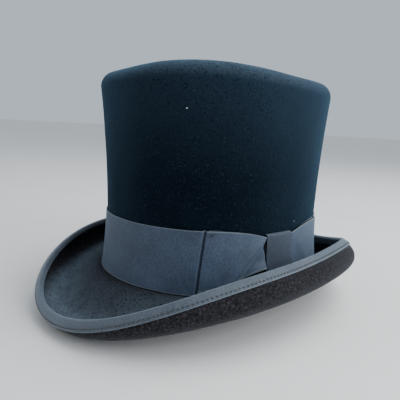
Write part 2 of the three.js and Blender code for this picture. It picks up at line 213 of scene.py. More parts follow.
# Each light's name, place, size, power and colour, in metres and watts.
SOFT_LIGHTS = (
    ("overhead", (0.5, 0.6, 1.4), (1.6, 1.2), 27, (0.92, 0.97, 1.0)),
    ("side_window", (1.5, 0.3, 0.8), (0.9, 0.9), 18, (0.88, 0.94, 1.0)),
    ("front_fill", (-0.9, -1.4, 0.9), (1.0, 1.0), 2, (1.0, 0.98, 0.95)),
)


# --- The head oval, crown and brim ----------------------------------------------------------

def smooth(value, low=0.0, high=1.0):
    """0 below low, 1 above high and an even rise between."""
    share = np.clip((np.asarray(value, float) - low) / (high - low), 0, 1)
    return share * share * (3 - 2 * share)


def mix(low, high, share):
    """The value at a share of the way from low to high."""
    return low + (high - low) * share


def through_stations(values, angle):
    """An even curve around the oval through its values at the front, quarters, side and back."""
    last = len(values) - 1
    total = 0
    for wave in range(last + 1):
        share = 0
        for station, value in enumerate(values):
            ends = 0.5 if station in (0, last) else 1
            share += ends * value * math.cos(math.pi * wave * station / last)
        ends = 0.5 if wave in (0, last) else 1
        total = total + (2 / last) * ends * share * np.cos(wave * angle)
    return total


def front_side_back(values, angle):
    """An even curve around the oval through its values at the front, sides and back."""
    front, side, back = values
    mean = (front + back + 2 * side) / 4
    lean = (front - back) / 2
    pinch = (front + back - 2 * side) / 4
    return mean + lean * np.cos(angle) + pinch * np.cos(2 * angle)


def oval_point(angle, outward, power):
    """x and y of a point outward of the waist oval, squared off by a superellipse power."""
    cosine, sine = np.cos(angle), np.sin(angle)
    stretch = (np.abs(cosine) ** power + np.abs(sine) ** power) ** (-1 / power)
    x = WAIST_HALF_WIDTH * sine * stretch
    y = -WAIST_HALF_LENGTH * cosine * stretch
    normal_x, normal_y = x / WAIST_HALF_WIDTH**2, y / WAIST_HALF_LENGTH**2
    size = np.hypot(normal_x, normal_y)
    return x + outward * normal_x / size, y + outward * normal_y / size


def joined(x, y, z):
    """Points from their three coordinates."""
    return np.stack(np.broadcast_arrays(x, y, z), axis=-1)


def crown_point(angle, outward, height, share=1.0):
    """A point of the crown at a share of the way out from its axis."""
    climb = np.clip(height / CROWN_HEIGHT, 0, 1)
    x, y = oval_point(angle, outward, mix(OVAL_POWER_BASE, OVAL_POWER_TOP, climb))
    towards_edge = np.maximum(0, (share - FLAT_TIP_SHARE) / (1 - FLAT_TIP_SHARE))
    sway = 0
    for waves, cosine, sine in EDGE_SWAY:
        sway = sway + cosine * np.cos(waves * angle) + sine * np.sin(waves * angle)
    return joined(x * share, y * share, height + sway * climb**3 * towards_edge**2)


def wall_outward(angle, height):
    """How far the crown's wall stands out from the waist oval."""
    below = BASE_FLARE * np.clip(1 - height / WAIST_HEIGHT, 0, None) ** 2
    climb = np.clip((height - WAIST_HEIGHT) / (WALL_TOP - WAIST_HEIGHT), 0, None)
    return below + front_side_back(TOP_FLARE, angle) * climb**TOP_FLARE_POWER


def wall_point(angle, height, proud):
    """A point on the crown's wall, so far out from the felt's outer face."""
    return crown_point(angle, wall_outward(angle, height) + proud, height)


def edge_point(angle, turn, proud):
    """The rounded top edge: turn 0 is the top of the wall and a quarter turn is the tip."""
    radius = EDGE_RADIUS + proud
    centre = front_side_back(TOP_FLARE, angle) - EDGE_RADIUS
    return crown_point(angle, centre + radius * np.cos(turn), WALL_TOP + radius * np.sin(turn))


def tip_point(angle, share, proud, inset=0.0):
    """A point on the crown's flat tip, at a share of the way out to its edge."""
    outward = front_side_back(TOP_FLARE, angle) - EDGE_RADIUS + inset
    return crown_point(angle, outward, CROWN_HEIGHT + proud, share)


def brim_point(angle, outward, height):
    """A point so far out from the crown's base."""
    x, y = oval_point(angle, BASE_FLARE + outward, OVAL_POWER_BASE)
    return joined(x, y, height)


def roll_at(angle):
    """Where the brim's roll starts, its lowest height, its width and height, and its turn."""
    start = through_stations(ROLL_START, angle)
    dip = through_stations(UNDERSIDE_DIP, angle)
    rise = through_stations(EDGE_RISE, angle) + LEFT_EDGE_LIFT * np.sin(angle)
    width = through_stations(ROLL_REACH, angle) - start
    turn = np.radians(through_stations(ROLL_TURN, angle))
    return start, dip, width, (rise - dip) / (1 - np.cos(turn)), turn


def slope_point(angle, share, depth):
    """The sheet between the crown (share 0) and the roll (share 1)."""
    start, dip = roll_at(angle)[:2]
    return brim_point(angle, start * share, mix(-FELT, dip, smooth(share)) + depth)


def roll_point(angle, turn, depth):
    """A point on the brim's roll, at a turn round it and so deep in from its outside."""
    start, dip, width, height, _ = roll_at(angle)
    inward_x, inward_z = -height * np.sin(turn), width * np.cos(turn)
    size = np.hypot(inward_x, inward_z)
    outward = start + width * np.sin(turn) + depth * inward_x / size
    return brim_point(angle, outward, dip + height * (1 - np.cos(turn)) + depth * inward_z / size)


def edge_turn(angle, distance):
    """The turn at which the roll is so far back along it from the brim's edge."""
    _, _, width, height, turn = roll_at(angle)
    for _ in range(ARC_STEPS):
        turn = turn - distance / ARC_STEPS / np.hypot(width * np.cos(turn), height * np.sin(turn))
    return turn


def near_edge_point(angle, distance, depth):
    """A point so far back from the brim's edge along the roll, and so deep in from outside."""
    return roll_point(angle, edge_turn(angle, distance), depth)


def brim_edge(angle):
    """The line along the middle of the brim's edge."""
    return near_edge_point(angle, 0, FELT / 2)


def band_line(angle):
    """The line along the middle of the hatband."""
    return wall_point(angle, BAND_HEIGHT / 2, 1.0)


def lengths_along(line):
    """The distance run along a line of points, at each of them."""
    return np.concatenate([[0], np.cumsum(np.linalg.norm(np.diff(line, axis=0), axis=1))])


def girth(curve, steps):
    """The length once around the hat of curve(angle)."""
    return float(lengths_along(curve(np.linspace(0, TURN, steps + 1)))[-1])


front_roll, back_roll = roll_at(0.0), roll_at(math.pi)
FRONT_REACH, BACK_REACH = front_roll[0] + front_roll[2], back_roll[0] + back_roll[2]
SHIFT = np.array([0, (FRONT_REACH - BACK_REACH) / 2, -front_roll[1]])
EDGE_LENGTH = girth(brim_edge, 4000)
STITCH_SPACING = EDGE_LENGTH / round(EDGE_LENGTH / STITCH_PITCH)
# Half axes of the oval through the brim's edge at the side and at the front.
EDGE_HALF_WIDTH = 113.1
EDGE_HALF_LENGTH = 166.4


def in_frame(points):
    """Crown millimetres to metres in the part's frame."""
    return (np.asarray(points, float) + SHIFT) * METRES


# --- Meshes ---------------------------------------------------------------------------------

def make_piece(name, points, faces, material, coords=None):
    """A mesh that rides on the hat. coords gives each point's place on the cloth, in metres."""
    mesh = bpy.data.meshes.new(name)
    mesh.from_pydata(in_frame(points).tolist(), [], faces)
    mesh.validate()
    mesh.update()
    if coords is not None:
        corner = np.empty(len(mesh.loops), np.int32)
        mesh.loops.foreach_get("vertex_index", corner)
        layer = mesh.uv_layers.new(name="cloth")
        layer.data.foreach_set("uv", np.asarray(coords[corner], np.float32).ravel())
    mesh.polygons.foreach_set("use_smooth", np.ones(len(mesh.polygons), bool))
    mesh.materials.append(material)
    piece = bpy.data.objects.new(name, mesh)
    bpy.context.scene.collection.objects.link(piece)
    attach(piece, "root")
    return piece


def grid_faces(rows, columns, ring_rows, ring_columns, first=0):
    """Quads over a grid of rows by columns, with either way closed into a ring."""
    row = np.arange(rows if ring_rows else rows - 1)
    column = np.arange(columns if ring_columns else columns - 1)
    row, column = np.meshgrid(row, column, indexing="ij")
    next_row, next_column = (row + 1) % rows, (column + 1) % columns
    corners = np.stack([
        row * columns + column,
        row * columns + next_column,
        next_row * columns + next_column,
        next_row * columns + column,
    ], axis=-1)
    return (corners.reshape(-1, 4) + first).tolist()


def signed_volume(points, faces):
    """Positive where the faces look outward."""
    quads = np.array([face for face in faces if len(face) == 4])
    a, b, c, d = (points[quads[:, corner]] for corner in range(4))
    volume = np.einsum("ij,ij->i", a, np.cross(b, c) + np.cross(c, d)).sum()
    return float(volume)


def with_poles(faces, rows, columns):
    """The faces with all of the first row as one point, and all of the last row as another."""
    last = (rows - 1) * columns
    merged = []
    for face in faces:
        face = [0 if v < columns else last if v >= last else v for v in face]
        merged.append([v for place, v in enumerate(face) if v != face[place - 1]])
    return merged


def sweep_piece(name, grid, material, ring=True, poles=False, along=None,
                looks=None, other_materials=()):
    """A closed body from a grid of points, whose rows go round its section.

    With poles the first and last rows are single points. Without a ring the two ends are capped.
    looks numbers the material of the face that starts at each row and column, 0 being the main
    one.
    """
    rows, columns = grid.shape[:2]
    points = grid.reshape(-1, 3)
    faces = grid_faces(rows, columns, not poles, ring)
    across = lengths_along(grid[:, 0])
    if along is None:
        along = lengths_along(grid[rows // 4])
    coords = joined(np.broadcast_to(along, (rows, columns)), across[:, None], 0)
    coords = coords.reshape(-1, 3)[:, :2] * METRES
    if poles:
        faces = with_poles(faces, rows, columns)
    if signed_volume(points, faces) < 0:
        faces = [face[::-1] for face in faces]
    if not ring:
        turned = signed_volume(points, grid_faces(rows, columns, True, False)) < 0
        for is_first, column in ((True, 0), (False, columns - 1)):
            cap = [row * columns + column for row in range(rows)]
            faces.append(cap if is_first == turned else cap[::-1])
    keep = np.unique(np.concatenate([np.array(face) for face in faces]))
    number = np.full(len(points), -1)
    number[keep] = np.arange(len(keep))
    faces = [[int(number[v]) for v in face] for face in faces]
    piece = make_piece(name, points[keep], faces, material, coords[keep])
    if looks is not None:
        chosen = (looks[:-1] if poles else looks if ring else looks[:, :-1]).ravel()
        ends = np.zeros(len(faces) - len(chosen), int)
        for other in other_materials:
            piece.data.materials.append(other)
        numbers = np.concatenate([chosen, ends]).astype(np.int32)
        piece.data.polygons.foreach_set("material_index", numbers)
    return piece


def closed(outer, inner):
    """The rows of a closed section: up the outer face and back down the inner one."""
    return np.concatenate([outer, inner[::-1]])


def even_angles(curve, pitch, start=0.0, end=TURN, ring=True):
    """Angles that step evenly along a curve around the hat, and how far along it they are."""
    fine = np.linspace(start, end, 4001)
    length = lengths_along(curve(fine))
    steps = max(4, round(length[-1] / pitch))
    at = np.linspace(0, length[-1], steps + 1)
    angles = np.interp(at, length, fine)
    return (angles[:-1], at[:-1]) if ring else (angles, at)


def ribs(distance, from_edge, plain=0.4):
    """How far a grosgrain ribbon's rounded ribs stand up, fading out into its plain edge."""
    return RIB_HEIGHT * np.cos(TURN * distance / RIB_PITCH) * smooth(from_edge, plain, SELVAGE)


def wobble(angle, height, amount):
    """Slow unevenness of blocked felt and hand-sewn cloth."""
    waves = (
        np.sin(3 * angle + height / 31)
        + 0.7 * np.sin(7 * angle - height / 19 + 1.3)
        + 0.5 * np.sin(13 * angle + height / 11 + 4.1)
        + 0.4 * np.sin(22 * angle - height / 8 + 2.2)
    )
    return amount * waves / 2.6


def stitch_row(name, centres, directions, normals, length=STITCH_LENGTH):
    """A row of short threads, each sunk into the cloth at both of its ends."""
    steps, sides = 6, 6
    points, faces = [], []
    for centre, direction, normal in zip(centres, directions, normals):
        direction = direction / np.linalg.norm(direction)
        normal = normal - direction * np.dot(normal, direction)
        normal = normal / np.linalg.norm(normal)
        side = np.cross(direction, normal)
        first = len(points)
        for step in range(1, steps):
            along = 2 * step / steps - 1
            lift = THREAD_RADIUS * (1.1 - 2.4 * along**4)
            radius = THREAD_RADIUS * math.sqrt(1 - 0.55 * along**4)
            middle = centre + direction * (along * length / 2) + normal * lift
            for place in range(sides):
                turn = TURN * place / sides
                points.append(middle + radius * (math.cos(turn) * normal + math.sin(turn) * side))
        for end in (-1, 1):
            points.append(centre + direction * (end * length / 2) - normal * THREAD_RADIUS * 1.6)
        tail, head = len(points) - 2, len(points) - 1
        faces += [face[::-1] for face in grid_faces(steps - 1, sides, False, True, first)]
        last = first + (steps - 2) * sides
        for place in range(sides):
            following = (place + 1) % sides
            faces.append([tail, first + following, first + place])
            faces.append([last + following, head, last + place])
    return make_piece(name, np.array(points), faces, THREAD_MATERIAL)


# --- Materials ------------------------------------------------------------------------------

class Nodes:
    """A material's node tree with short ways to add nodes and join them."""

    def __init__(self, name):
        self.material = bpy.data.materials.new(name)
        self.material.use_nodes = True
        self.tree = self.material.node_tree
        self.shader = self.tree.nodes["Principled BSDF"]

    def add(self, kind, **settings):
        node = self.tree.nodes.new(kind)
        for key, value in settings.items():
            setattr(node, key, value)
        return node

    def give(self, socket, value):
        """Sets a socket to a number or a colour, or links a node's output to it."""
        if isinstance(value, (int, float)):
            socket.default_value = value
        elif isinstance(value, tuple):
            socket.default_value = (*value, 1.0)
        else:
            self.tree.links.new(value, socket)

    def mapped(self, source, stretch, shift=(0, 0, 0)):
        mapping = self.add("ShaderNodeMapping")
        mapping.inputs["Scale"].default_value = stretch
        mapping.inputs["Location"].default_value = shift
        self.give(mapping.inputs["Vector"], source)
        return mapping.outputs["Vector"]

    def object_coords(self, stretch=(1, 1, 1), shift=(0, 0, 0)):
        return self.mapped(self.add("ShaderNodeTexCoord").outputs["Object"], stretch, shift)

    def cloth_coords(self, stretch=(1, 1, 1)):
        return self.mapped(self.add("ShaderNodeUVMap", uv_map="cloth").outputs["UV"], stretch)

    def axis(self, vector, name):
        """One coordinate of a vector."""
        split = self.add("ShaderNodeSeparateXYZ")
        self.give(split.inputs["Vector"], vector)
        return split.outputs[name]

    def noise(self, coords, scale, detail=4.0, roughness=0.6, distortion=0.0):
        node = self.add("ShaderNodeTexNoise")
        node.inputs["Scale"].default_value = scale
        node.inputs["Detail"].default_value = detail
        node.inputs["Roughness"].default_value = roughness
        node.inputs["Distortion"].default_value = distortion
        self.give(node.inputs["Vector"], coords)
        return node.outputs["Fac"]

    def cells(self, coords, scale, feature="F1"):
        node = self.add("ShaderNodeTexVoronoi", feature=feature)
        node.inputs["Scale"].default_value = scale
        self.give(node.inputs["Vector"], coords)
        return node.outputs["Distance"]

    def math(self, operation, *values, clamp=False):
        node = self.add("ShaderNodeMath", operation=operation, use_clamp=clamp)
        for place, value in enumerate(values):
            self.give(node.inputs[place], value)
        return node.outputs[0]

    def steps(self, value, low, high, to_low=0.0, to_high=1.0):
        """An even, clamped rise from to_low at low to to_high at high."""
        node = self.add("ShaderNodeMapRange")
        node.inputs["From Min"].default_value = low
        node.inputs["From Max"].default_value = high
        node.inputs["To Min"].default_value = to_low
        node.inputs["To Max"].default_value = to_high
        self.give(node.inputs["Value"], value)
        return node.outputs["Result"]

    def mixed(self, share, first, second):
        """A colour between two, each a tuple or a node's output."""
        node = self.add("ShaderNodeMix", data_type="RGBA")
        self.give(node.inputs[0], share)
        colours = [socket for socket in node.inputs if socket.type == "RGBA"]
        self.give(colours[0], first)
        self.give(colours[1], second)
        return next(socket for socket in node.outputs if socket.type == "RGBA")

    def bump(self, height, distance, strength=1.0, below=None):
        node = self.add("ShaderNodeBump")
        node.inputs["Strength"].default_value = strength
        node.inputs["Distance"].default_value = distance
        self.give(node.inputs["Height"], height)
        if below is not None:
            self.give(node.inputs["Normal"], below)
        return node.outputs["Normal"]

    def finish(self, base, roughness, normal=None, **values):
        """Joins the shader up and sets its plain values. Gives the material."""
        self.give(self.shader.inputs["Base Color"], base)
        self.give(self.shader.inputs["Roughness"], roughness)
        if normal is not None:
            self.give(self.shader.inputs["Normal"], normal)
        for key, value in values.items():
            self.give(self.shader.inputs[key.replace("_", " ")], value)
        return self.material


def off_centre(nodes, half_width, half_length):
    """Distance from the crown's axis, 1 on the oval with these half axes."""
    length = nodes.add("ShaderNodeVectorMath", operation="LENGTH")
    across = nodes.object_coords(
        (1 / (half_width * METRES), 1 / (half_length * METRES), 0),
        (0, -SHIFT[1] / half_length, 0))
    nodes.give(length.inputs[0], across)
    return length.outputs["Value"]


def dust_and_top_light(nodes, mottle, least, most):
    """How thickly dusting lies in patches on what faces upward, which also paints light from above
    onto those faces.
    """
    normal = nodes.add("ShaderNodeNewGeometry").outputs["Normal"]
    facing_up = nodes.steps(nodes.axis(normal, "Z"), 0.1, 0.95)
    return nodes.math("MULTIPLY", facing_up, nodes.steps(mottle, 0.3, 0.7, least, most))


def napped(nodes, coords, base, dusting_and_top_light, fibre, **values):
    """Settled dusting with painted top light, nap, single fibres, pale specks and rare lint over a
    felt's base colour.
    """
    nap = nodes.noise(coords, 560, 5, 0.75, 0.6)
    fibres = nodes.noise(coords, 1900, 3, 0.75, 1.5)
    base = nodes.mixed(dusting_and_top_light, base, FELT_DUST_AND_TOP_LIGHT)
    base = nodes.mixed(nodes.steps(nap, 0.51, 0.62, 0.0, 0.85), base, fibre)
    base = nodes.mixed(nodes.steps(nap, 0.48, 0.38, 0.0, 0.9), base, FELT_DARK)
    base = nodes.mixed(nodes.steps(fibres, 0.54, 0.7, 0.0, 0.5), base, fibre)
    speck = nodes.steps(nodes.cells(coords, 480), 0.24, 0.1)
    chosen = nodes.steps(nodes.noise(coords, 230, 1), 0.46, 0.6)
    base = nodes.mixed(nodes.math("MULTIPLY", speck, chosen, clamp=True), base, FELT_SPECK)
    lint = nodes.steps(nodes.cells(coords, 70), 0.05, 0.03)
    rare = nodes.steps(nodes.noise(coords, 37, 1), 0.58, 0.62)
    base = nodes.mixed(nodes.math("MULTIPLY", lint, rare, clamp=True), base, FELT_LINT)
    normal = nodes.bump(nap, 0.0008, 0.6)
    return nodes.finish(
        base, nodes.steps(nap, 0.2, 0.8, 0.8, 1.0), nodes.bump(fibres, 0.0003, 0.4, normal),
        Sheen_Roughness=0.45, **values)


def crown_felt_material():
    """Dense black wool felt, with painted light that makes it paler towards the tip, and some
    dusting with painted top light on its edge.
    """
    nodes = Nodes("wool_felt_crown")
    coords = nodes.object_coords()
    clouds = nodes.noise(coords, 24, 4, 0.6)
    mottle = nodes.noise(coords, 85, 4, 0.65)
    base = nodes.mixed(nodes.steps(clouds, 0.35, 0.7), FELT_DARK, FELT_WORN_AND_PAINTED_SHADE)
    # Painted light: the upper crown is mixed towards a paler colour.
    tip_light_share = nodes.steps(nodes.axis(coords, "Z"), 0.12, 0.20, 0.0, 0.8)
    base = nodes.mixed(tip_light_share, base, FELT_PAINTED_TIP_LIGHT)
    return napped(
        nodes, coords, base, dust_and_top_light(nodes, mottle, 0.2, 0.38), FELT_FIBRE,
        Specular_IOR_Level=0.03, Sheen_Weight=0.185, Sheen_Tint=FELT_SHEEN_TINT)


def brim_felt_material():
    """The same felt on the brim: tinted brown as painted warm bounce light, worn to a fine speckle,
    darker next to the crown as painted shade, and dusty with painted top light on its floor.
    """
    nodes = Nodes("wool_felt_brim")
    coords = nodes.object_coords()
    mottle = nodes.noise(coords, 85, 4, 0.65)
    away = nodes.steps(off_centre(nodes, WAIST_HALF_WIDTH, WAIST_HALF_LENGTH), 1.08, 1.32)
    inside = nodes.steps(off_centre(nodes, EDGE_HALF_WIDTH, EDGE_HALF_LENGTH), 1.06, 0.99)
    base = nodes.mixed(nodes.steps(mottle, 0.35, 0.65), BRIM_DARK, BRIM_WORN)
    # Painted shade: the brim is darker next to the crown, and the dusting with painted top light
    # stops short of it.
    base = nodes.mixed(away, FELT_WORN_AND_PAINTED_SHADE, base)
    on_floor = nodes.math("MULTIPLY", away, inside)
    settled = nodes.math("MULTIPLY", dust_and_top_light(nodes, mottle, 0.5, 0.9), on_floor)
    return napped(
        nodes, coords, base, settled, BRIM_FIBRE,
        Specular_IOR_Level=0.07, Sheen_Weight=0.11, Sheen_Tint=BRIM_SHEEN_TINT)


def ribbon_material(name, dark, light, sheen):
    """Grosgrain: ribs across the ribbon, close threads, fine grain and faint handling marks."""
    nodes = Nodes(name)
    cloth = nodes.cloth_coords()
    coords = nodes.object_coords()
    patches = nodes.noise(coords, 42, 5, 0.62)
    streaks = nodes.noise(nodes.cloth_coords((900, 40, 1)), 1.0, 3, 0.6)
    threads = nodes.noise(cloth, 5200, 2, 0.6)
    grain = nodes.noise(coords, 900, 3, 0.7)
    rib_turn = nodes.math("MULTIPLY", nodes.axis(cloth, "X"), TURN / (RIB_PITCH * METRES))
    rib = nodes.math("COSINE", rib_turn)
    base = nodes.mixed(nodes.steps(patches, 0.36, 0.64), dark, light)
    base = nodes.mixed(nodes.steps(streaks, 0.35, 0.75, 0.0, 0.35), base, light)
    base = nodes.mixed(nodes.steps(rib, -1.0, 0.2, 0.42, 0.0), base, RIBBON_GROOVE)
    base = nodes.mixed(nodes.steps(threads, 0.55, 0.8, 0.0, 0.3), base, RIBBON_THREAD)
    base = nodes.mixed(nodes.steps(grain, 0.45, 0.7, 0.0, 0.4), base, RIBBON_THREAD)
    base = nodes.mixed(nodes.steps(grain, 0.5, 0.3, 0.0, 0.5), base, RIBBON_GROOVE)
    weft_turn = nodes.math("MULTIPLY", nodes.axis(cloth, "Y"), TURN / (WEFT_PITCH * METRES))
    weft = nodes.math("MULTIPLY", nodes.math("COSINE", weft_turn), rib)
    normal = nodes.bump(threads, 0.00012, 0.5, nodes.bump(weft, 0.00005, 0.5))
    return nodes.finish(
        base, nodes.steps(patches, 0.3, 0.7, 0.5, 0.62), normal, Specular_IOR_Level=0.35,
        Sheen_Weight=sheen, Sheen_Roughness=0.5, Sheen_Tint=RIBBON_SHEEN_TINT)


def selvage_material():
    """The close, smooth weave along a ribbon's edge, rubbed a little paler."""
    nodes = Nodes("grosgrain_selvage")
    coords = nodes.object_coords()
    threads = nodes.noise(coords, 2600, 3, 0.65)
    worn = nodes.noise(coords, 90, 3, 0.6)
    base = nodes.mixed(nodes.steps(worn, 0.35, 0.7), RIBBON_EDGE, RIBBON_EDGE_WORN)
    base = nodes.mixed(nodes.steps(threads, 0.5, 0.8, 0.0, 0.5), base, RIBBON_GROOVE)
    return nodes.finish(
        base, nodes.steps(threads, 0.3, 0.7, 0.5, 0.7), nodes.bump(threads, 0.0002, 0.6),
        Specular_IOR_Level=0.35, Sheen_Weight=0.4, Sheen_Roughness=0.5)


def grained_material(name, grain, dark, light, rising, rough, relief=0.6, stretch=(1, 1, 1),
                     **values):
    """A surface whose two colours, roughness and relief all follow one fine grain.

    grain is the noise's scale, detail and so on, and rising is where dark turns light.
    """
    nodes = Nodes(name)
    noise = nodes.noise(nodes.object_coords(stretch), *grain)
    base = nodes.mixed(nodes.steps(noise, *rising), dark, light)
    return nodes.finish(
        base, nodes.steps(noise, 0.3, 0.7, *rough), nodes.bump(noise, 0.0002, relief), **values)


def leather_material():
    """Thin sweatband leather with a fine pebbled grain, creases and a soft polish from wear."""
    nodes = Nodes("sweatband_leather")
    coords = nodes.object_coords()
    pebbles = nodes.cells(coords, 1100, "SMOOTH_F1")
    creases = nodes.noise(nodes.object_coords((1, 1, 5)), 60, 5, 0.65, 1.2)
    patches = nodes.noise(coords, 28, 4, 0.6)
    base = nodes.mixed(nodes.steps(patches, 0.3, 0.7), LEATHER_DARK, LEATHER_LIGHT)
    base = nodes.mixed(nodes.steps(pebbles, 0.05, 0.6, 0.4, 0.0), base, LEATHER_CREASE)
    normal = nodes.bump(creases, 0.0008, 0.35, nodes.bump(pebbles, 0.0003, 0.5))
    return nodes.finish(
        base, nodes.steps(patches, 0.3, 0.7, 0.36, 0.55), normal, Specular_IOR_Level=0.45)


def satin_material():
    """Satin lining: long smooth floats in one direction, with slubs and a soft gloss."""
    nodes = Nodes("lining_satin")
    floats = nodes.noise(nodes.cloth_coords((1, 12, 1)), 900, 3, 0.6)
    patches = nodes.noise(nodes.object_coords(), 35, 3, 0.5)
    slubs = nodes.noise(nodes.cloth_coords((14, 1, 1)), 110, 2, 0.7)
    base = nodes.mixed(nodes.steps(patches, 0.3, 0.7), SATIN_DARK, SATIN_LIGHT)
    base = nodes.mixed(nodes.steps(slubs, 0.6, 0.8, 0.0, 0.35), base, SATIN_SLUB)
    return nodes.finish(
        base, nodes.steps(floats, 0.3, 0.7, 0.26, 0.42), nodes.bump(floats, 0.00012, 0.5),
        Specular_IOR_Level=0.6, Sheen_Weight=0.25, Sheen_Roughness=0.3, Anisotropic=0.4)


def film_material():
    """The clear patch over the lining's tip, slightly hazed and rippled."""
    nodes = Nodes("clear_film")
    ripples = nodes.noise(nodes.object_coords(), 40, 2, 0.5)
    haze = nodes.noise(nodes.object_coords(), 400, 3, 0.6)
    base = nodes.mixed(nodes.steps(haze, 0.3, 0.8), FILM_CLEAR, FILM_HAZED)
    return nodes.finish(
        base, nodes.steps(haze, 0.3, 0.8, 0.06, 0.22), nodes.bump(ripples, 0.002, 0.4),
        Alpha=0.22, Specular_IOR_Level=0.5)


CROWN_FELT_MATERIAL = crown_felt_material()
BRIM_FELT_MATERIAL = brim_felt_material()
BAND_MATERIAL = ribbon_material("grosgrain_band", BAND_DARK, BAND_LIGHT, 0.35)
BOW_MATERIAL = ribbon_material("grosgrain_bow", BAND_DARK, BAND_LIGHT, 0.4)
KNOT_MATERIAL = ribbon_material("grosgrain_knot", KNOT_DARK, KNOT_LIGHT, 0.3)
BINDING_MATERIAL = ribbon_material("grosgrain_binding", BINDING_DARK, BINDING_LIGHT, 0.6)
# Painted shade: near-black ribbon put on faces inside folds and hollows, where shade falls.
SHADOWED_MATERIAL = grained_material(
    "grosgrain_painted_shade", (2600, 3, 0.65), SHADOWED_DARK, SHADOWED_LIGHT, (0.4, 0.7),
    (0.8, 0.95), Specular_IOR_Level=0.1)
RIBBON_EXTRAS = (selvage_material(), SHADOWED_MATERIAL)
THREAD_MATERIAL = grained_material(
    "sewing_thread", (2400, 2, 0.6, 1.0), THREAD_DARK, THREAD_LIGHT, (0.35, 0.7),
    (0.4, 0.65), stretch=(1, 1, 2.5), Specular_IOR_Level=0.4, Sheen_Weight=0.2)
REED_MATERIAL = grained_material(
    "reed", (420, 3, 0.6), REED_DARK, REED_SCUFFED, (0.4, 0.75), (0.4, 0.6), relief=0.3)
LEATHER_MATERIAL = leather_material()
SATIN_MATERIAL = satin_material()
FILM_MATERIAL = film_material()


# --- The felt -------------------------------------------------------------------------------

def felt_body():
    """Crown and brim, one sheet of blocked felt with slight unevenness."""
    angles = np.linspace(0, TURN, 361)[:-1]
    last_turn = edge_turn(angles, RIBBON + CLEARANCE)

    def face(depth):
        """One face's rows from the tip to the brim's edge, so deep in from the outer face."""
        inside = FELT - depth
        rows = []
        for share in np.concatenate([[0.0], np.linspace(0.06, 1, 26) ** 0.8]):
            rows.append(tip_point(angles, share, wobble(angles, 40 * share, 0.12 * share) - depth))
        for turn in np.linspace(math.pi / 2, 0, 15)[1:]:
            rows.append(edge_point(angles, turn, wobble(angles, 180 + turn, 0.14) - depth))
        for height in np.linspace(WALL_TOP, 0, 64)[1:]:
            ease = wobble(angles, height, 0.22 * smooth(height, 30, 80))
            rows.append(wall_point(angles, height, ease - depth))
        for share in np.linspace(0, 1, 22)[1:-1]:
            rows.append(slope_point(angles, share, inside + wobble(angles, 60 * share, 0.25)))
        for share in np.linspace(0, 1, 40):
            ease = wobble(angles, 60, 0.25 * (1 - share))
            rows.append(roll_point(angles, share * last_turn, inside + ease))
        return rows

    edge = near_edge_point(angles, RIBBON + CLEARANCE - EDGE_ROUNDING, FELT / 2)
    grid = np.stack([*face(0.0), edge, *face(FELT)[::-1]])
    on_brim = (grid[..., 2] < BRIM_FELT_TOP).astype(int)
    return sweep_piece(
        "felt_shell", grid, CROWN_FELT_MATERIAL, poles=True,
        looks=on_brim, other_materials=(BRIM_FELT_MATERIAL,))


# --- Ribbons --------------------------------------------------------------------------------

def edge_looks(across, width, shadowed, reach=SELVAGE):
    """1 on a ribbon's selvages and 2 for painted shade on faces folded out of the light, by grid
    place.
    """
    at_edge = (across < reach) | (across > width - reach)
    looks = np.where(shadowed, 2, np.where(at_edge, 1, 0))
    return np.concatenate([looks, looks[::-1]])


def ribbon_levels(width, steps):
    """A column of distances across a ribbon, closer together at its selvages."""
    close = SELVAGE_LEVELS * SELVAGE
    inner = np.linspace(SELVAGE, width - SELVAGE, steps)
    return np.concatenate([close, inner, width - close[::-1]])[:, None]


def edge_rounding(from_edge, thickness):
    """How much a strip's half thickness shrinks towards its edge."""
    short = 1 - np.clip(from_edge / EDGE_ROUNDING, 0, 1)
    return thickness / 2 * (1 - np.sqrt(1 - short**2))


def bell(value, middle, spread):
    """1 at the middle, falling away smoothly to either side."""
    return np.exp(-((value - middle) / spread) ** 2)


def band_top(angle):
    """The hatband's top edge, drawn down behind the bow so that it stays out of sight there."""
    offset = (angle - BOW_CENTRE + math.pi) % TURN - math.pi
    reach = np.where(offset < 0, BOW_CENTRE - FRONT_FOLD[0], REAR_FOLD[0] - BOW_CENTRE)
    near_knot = 1 - (np.abs(offset) - KNOT_HALF_ANGLE) / (reach - KNOT_HALF_ANGLE)
    return mix(BAND_HEIGHT, PINCHED_TOP - RIBBON, np.clip(near_knot, 0, 1) ** BAND_PINCH_POWER)


